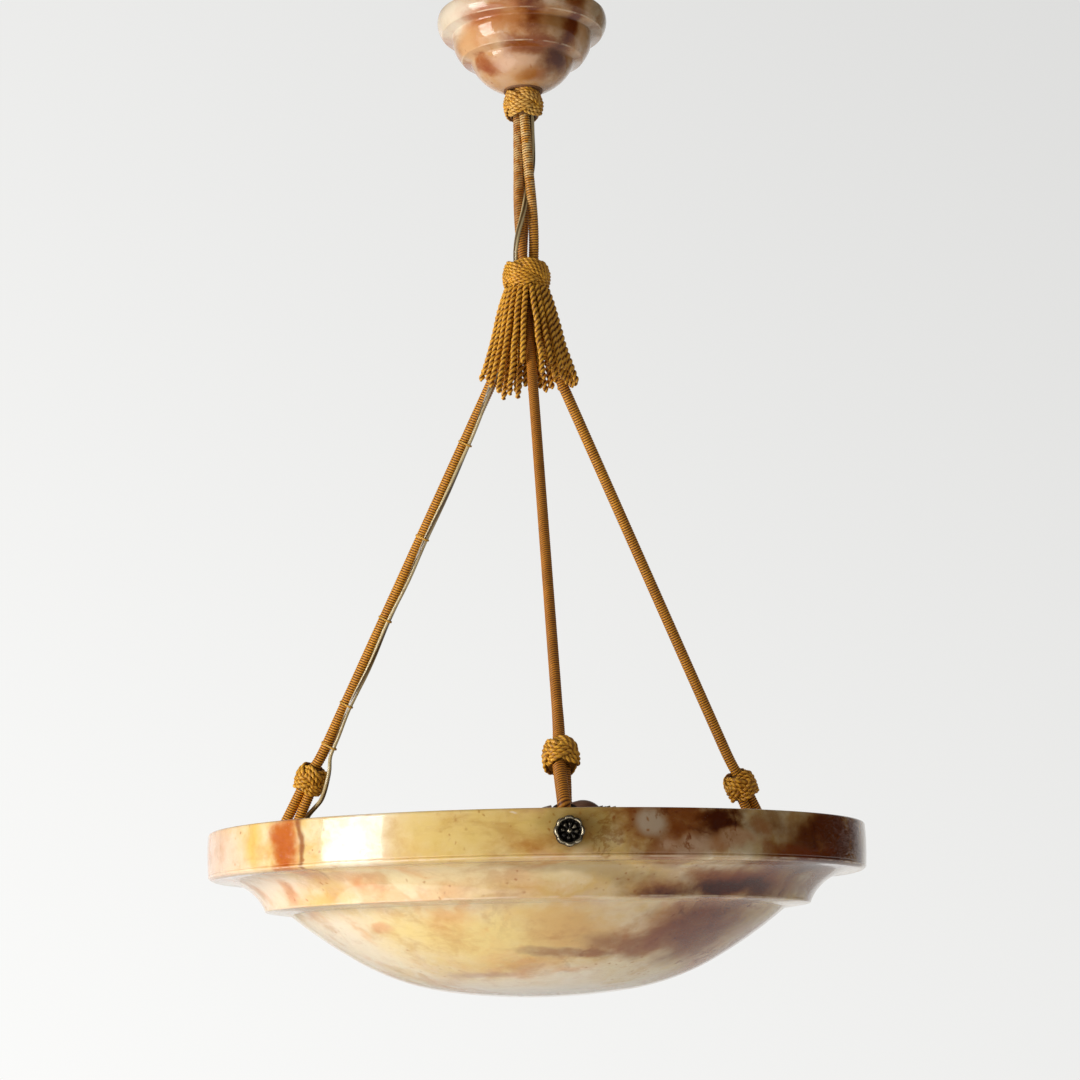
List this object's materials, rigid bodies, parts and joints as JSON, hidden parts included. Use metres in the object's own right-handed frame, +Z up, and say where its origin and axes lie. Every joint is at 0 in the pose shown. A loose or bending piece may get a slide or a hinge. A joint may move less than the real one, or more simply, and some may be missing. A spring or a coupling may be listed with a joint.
{
  "type": "ceiling pendant lamp",
  "caption": "Alabaster bowl pendant hung by twisted silk ropes with knots and a fringed tassel from a turned stone ceiling cup.",
  "frame": {"origin": "on the ceiling, at the middle of the ceiling plate's top face between its two screw holes", "axes": "+Z up; the front seen in the picture faces -Y, and the front rope stands 5 degrees from -Y towards +X"},
  "size_m": [0.4207, 0.4258, 0.6586],
  "materials": {
    "zinc_plate": "zinc-plated, dull",
    "steel_hook": "zinc-plated wire",
    "white_plastic": "moulded, matt",
    "brass_screw": "turned",
    "steel_ring": "welded wire",
    "brass_cup": "turned, a little dull",
    "silk_rope": "golden-brown silk wound in fine ridges",
    "clear_lead": "clear golden sheath",
    "thread": "waxed thread",
    "silk_knot": "knotted twisted silk cord",
    "silk_fringe": "twisted silk fringe cords",
    "dark_ring": "darkened steel wire",
    "eye_bolt": "dull steel",
    "aged_brass": "dark patinated, cast flower",
    "alabaster_bowl": "polished honey to mauve alabaster with brown veins",
    "bracket_steel": "lacquered strip steel",
    "rivet_steel": "plain",
    "brown_plastic": "brown moulded plastic",
    "white_ceramic": "glazed",
    "brass_shell": "thin pressed, threaded",
    "lamp_cap": "threaded, satin",
    "lamp_glass": "opal white glass",
    "alabaster_canopy": "polished pinkish alabaster with brown veins",
    "thin_brass": "thin, aged"
  },
  "bodies": {
    "ceiling": {"ceiling_plate": "zinc_plate", "ceiling_hook": "steel_hook", "hook_nut": "steel_hook", "terminal_block": "white_plastic", "terminal_screws": "brass_screw"},
    "link": {"hanging_ring": "steel_ring"},
    "pendant": {"rope_cup": "brass_cup", "cup_screw": "brass_screw", "rope_front": "silk_rope", "rope_left": "silk_rope", "rope_right": "silk_rope", "lead": "clear_lead", "lead_ties": "thread", "tassel_knot": "silk_knot", "tassel_fringe": "silk_fringe", "rope_ring_front": "dark_ring", "rope_ring_left": "dark_ring", "rope_ring_right": "dark_ring", "eye_bolt_front": "eye_bolt", "eye_bolt_left": "eye_bolt", "eye_bolt_right": "eye_bolt", "rosette_front": "aged_brass", "rosette_left": "aged_brass", "rosette_right": "aged_brass", "bowl": "alabaster_bowl", "lamp_bracket": "bracket_steel", "holder_strip": "bracket_steel", "bracket_rivets": "rivet_steel", "holder_cap": "brown_plastic", "holder_body": "brown_plastic", "holder_insert": "white_ceramic", "screw_shell": "brass_shell", "centre_contact": "brass_screw", "shade_ring": "brown_plastic", "nipple": "brass_screw", "nipple_nuts": "brass_screw", "lamp_cap": "lamp_cap", "lamp_glass": "lamp_glass"},
    "canopy_stack": {"canopy": "alabaster_canopy", "canopy_washer": "thin_brass", "canopy_knot": "silk_knot"},
    "knot_front": {"end_knot_front": "silk_knot"},
    "knot_left": {"end_knot_left": "silk_knot"},
    "knot_right": {"end_knot_right": "silk_knot"}
  },
  "joints": [
    {"name": "link_swing", "type": "hinge", "parent": "ceiling", "child": "link", "pos_m": [0, 0, -0.0169], "axis": [0, 1, 0], "range_deg": [-2, 2]},
    {"name": "pendant_swing", "type": "hinge", "parent": "link", "child": "pendant", "pos_m": [0, 0, -0.0237], "axis": [1, 0, 0], "range_deg": [-2, 2]},
    {"name": "canopy_slide", "type": "slide", "parent": "pendant", "child": "canopy_stack", "axis": [0, 0, 1], "range_m": [-0.045, 0]},
    {"name": "knot_front_slide", "type": "slide", "parent": "pendant", "child": "knot_front", "axis": [-0.0415, 0.4745, 0.8793], "range_m": [0, 0.03]},
    {"name": "knot_left_slide", "type": "slide", "parent": "pendant", "child": "knot_left", "axis": [0.4317, -0.2013, 0.8793], "range_m": [0, 0.005]},
    {"name": "knot_right_slide", "type": "slide", "parent": "pendant", "child": "knot_right", "axis": [-0.3902, -0.2732, 0.8793], "range_m": [0, 0.03]}
  ]
}
